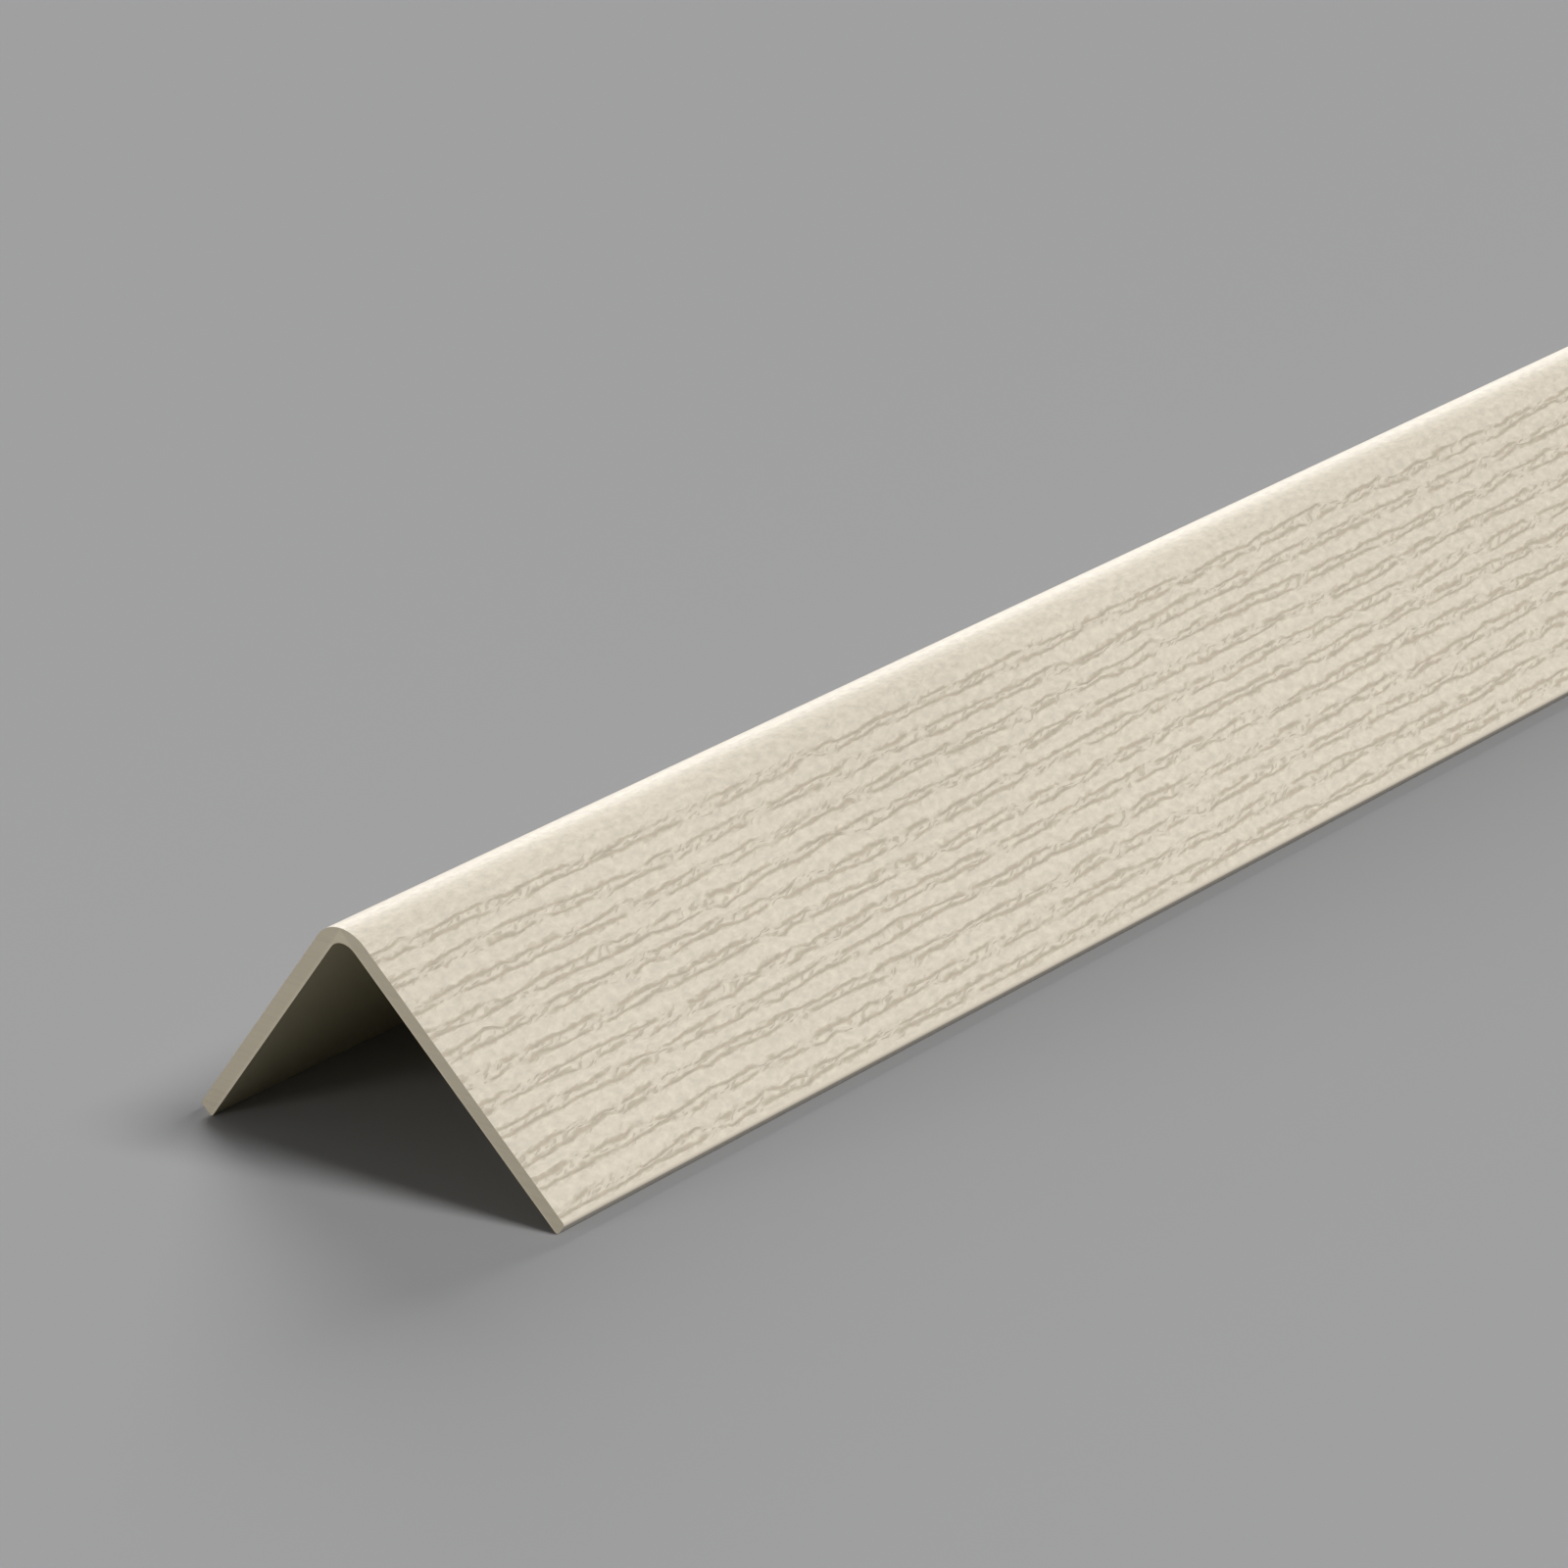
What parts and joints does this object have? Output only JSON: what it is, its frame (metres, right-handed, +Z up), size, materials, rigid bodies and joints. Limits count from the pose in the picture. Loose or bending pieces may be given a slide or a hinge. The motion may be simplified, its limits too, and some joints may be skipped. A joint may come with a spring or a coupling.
{
  "type": "corner guard moulding",
  "caption": "Equal-leg right-angle moulding that guards an outside wall corner, in cream rigid PVC with wood-grain embossed outer faces and rounded edges.",
  "frame": {"origin": "on the floor under the middle of the length, between the free edges of the two legs", "axes": "+X along the length, +Z up through the corner, which lies on top as the moulding rests on its free edges; one leg falls towards +Y and one towards -Y"},
  "size_m": [1, 0.0422, 0.0205],
  "materials": {
    "embossed_pvc": "satin"
  },
  "bodies": {
    "root": {"corner_guard": "embossed_pvc"}
  },
  "joints": []
}
